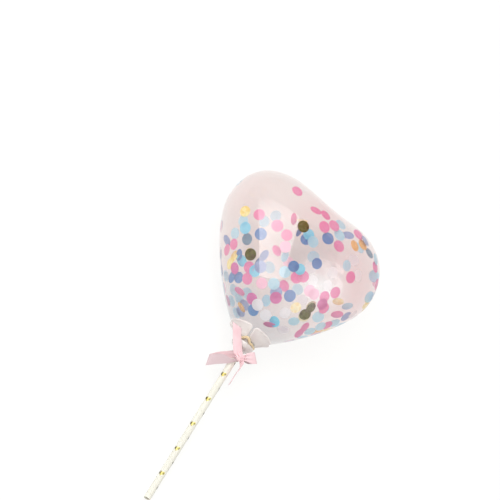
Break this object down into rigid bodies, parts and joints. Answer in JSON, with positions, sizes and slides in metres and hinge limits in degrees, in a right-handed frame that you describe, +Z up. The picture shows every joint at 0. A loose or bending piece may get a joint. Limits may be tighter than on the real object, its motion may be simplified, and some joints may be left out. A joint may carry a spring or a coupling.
{
  "type": "heart balloon",
  "caption": "Small see-through heart balloon filled with confetti, in a petal cup on a paper straw with a satin bow, lying on its back.",
  "frame": {"origin": "Middle of the object's box on the floor, with the object lying on its back.", "axes": "+Y runs along the object from the straw's lower end to the top of the heart, +X to the right of the heart as its front is seen, +Z up from the floor, the way the heart's front faces."},
  "size_m": [0.155, 0.3006, 0.0924],
  "materials": {
    "clear_latex": "glossy see-through pale pink latex",
    "cup_plastic": "white translucent plastic",
    "straw_paper": "white paper with small gold foil hearts",
    "ribbon_satin": "pale pink satin"
  },
  "bodies": {
    "root": {"balloon": "clear_latex", "balloon_cup": "cup_plastic", "straw": "straw_paper", "ribbon": "ribbon_satin"}
  },
  "joints": []
}
